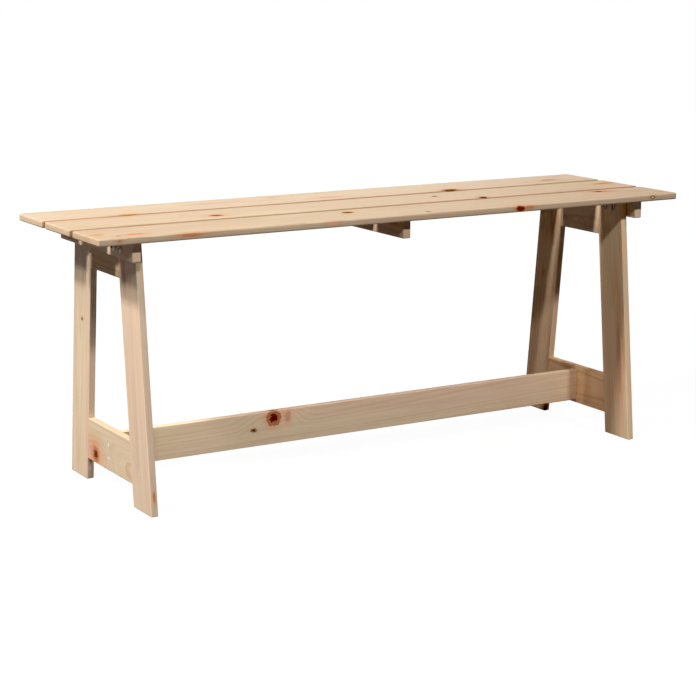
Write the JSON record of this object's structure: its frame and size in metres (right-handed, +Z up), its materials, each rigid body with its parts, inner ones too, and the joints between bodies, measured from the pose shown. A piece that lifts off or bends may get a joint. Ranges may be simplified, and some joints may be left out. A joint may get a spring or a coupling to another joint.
{
  "type": "trestle bench",
  "caption": "Long slatted wooden bench on two splayed trestles with crossbars, joined by a low lengthwise stretcher; planks rest on battens bolted to the trestles.",
  "frame": {"origin": "On the floor, at the centre of the bench's footprint, under the middle of the seat", "axes": "+X along the seat's length, +Y from the front edge to the back edge, +Z up"},
  "size_m": [1.13, 0.328, 0.45],
  "materials": {
    "seat_pine": "satin",
    "frame_pine": "satin",
    "dowel_wood": "matte",
    "bolt_zinc": "satin",
    "screw_steel": "satin"
  },
  "bodies": {
    "root": {"seat_plank_front": "seat_pine", "seat_plank_middle": "seat_pine", "seat_plank_back": "seat_pine", "batten_left": "frame_pine", "batten_middle": "frame_pine", "batten_right": "frame_pine", "leg_left_front": "frame_pine", "leg_left_back": "frame_pine", "leg_right_front": "frame_pine", "leg_right_back": "frame_pine", "upper_crossbar_left": "frame_pine", "upper_crossbar_right": "frame_pine", "lower_crossbar_left": "frame_pine", "lower_crossbar_right": "frame_pine", "stretcher": "frame_pine", "leg_bolt_left_front_1": "bolt_zinc", "leg_bolt_left_front_2": "bolt_zinc", "leg_bolt_left_back_1": "bolt_zinc", "leg_bolt_left_back_2": "bolt_zinc", "leg_bolt_right_front_1": "bolt_zinc", "leg_bolt_right_front_2": "bolt_zinc", "leg_bolt_right_back_1": "bolt_zinc", "leg_bolt_right_back_2": "bolt_zinc", "leg_nut_left_front_1": "bolt_zinc", "leg_nut_left_front_2": "bolt_zinc", "leg_nut_left_back_1": "bolt_zinc", "leg_nut_left_back_2": "bolt_zinc", "leg_nut_right_front_1": "bolt_zinc", "leg_nut_right_front_2": "bolt_zinc", "leg_nut_right_back_1": "bolt_zinc", "leg_nut_right_back_2": "bolt_zinc", "stretcher_screw_left_upper": "screw_steel", "stretcher_screw_left_lower": "screw_steel", "stretcher_screw_right_upper": "screw_steel", "stretcher_screw_right_lower": "screw_steel", "plank_screw_left_front_1": "screw_steel", "plank_screw_left_front_2": "screw_steel", "plank_screw_left_middle_1": "screw_steel", "plank_screw_left_middle_2": "screw_steel", "plank_screw_left_back_1": "screw_steel", "plank_screw_left_back_2": "screw_steel", "plank_screw_middle_front": "screw_steel", "plank_screw_middle_middle": "screw_steel", "plank_screw_middle_back": "screw_steel", "plank_screw_right_front_1": "screw_steel", "plank_screw_right_front_2": "screw_steel", "plank_screw_right_middle_1": "screw_steel", "plank_screw_right_middle_2": "screw_steel", "plank_screw_right_back_1": "screw_steel", "plank_screw_right_back_2": "screw_steel", "dowel_left_lower_front": "dowel_wood", "dowel_left_lower_back": "dowel_wood", "dowel_left_upper_front": "dowel_wood", "dowel_left_upper_back": "dowel_wood", "dowel_right_lower_front": "dowel_wood", "dowel_right_lower_back": "dowel_wood", "dowel_right_upper_front": "dowel_wood", "dowel_right_upper_back": "dowel_wood"}
  },
  "joints": []
}
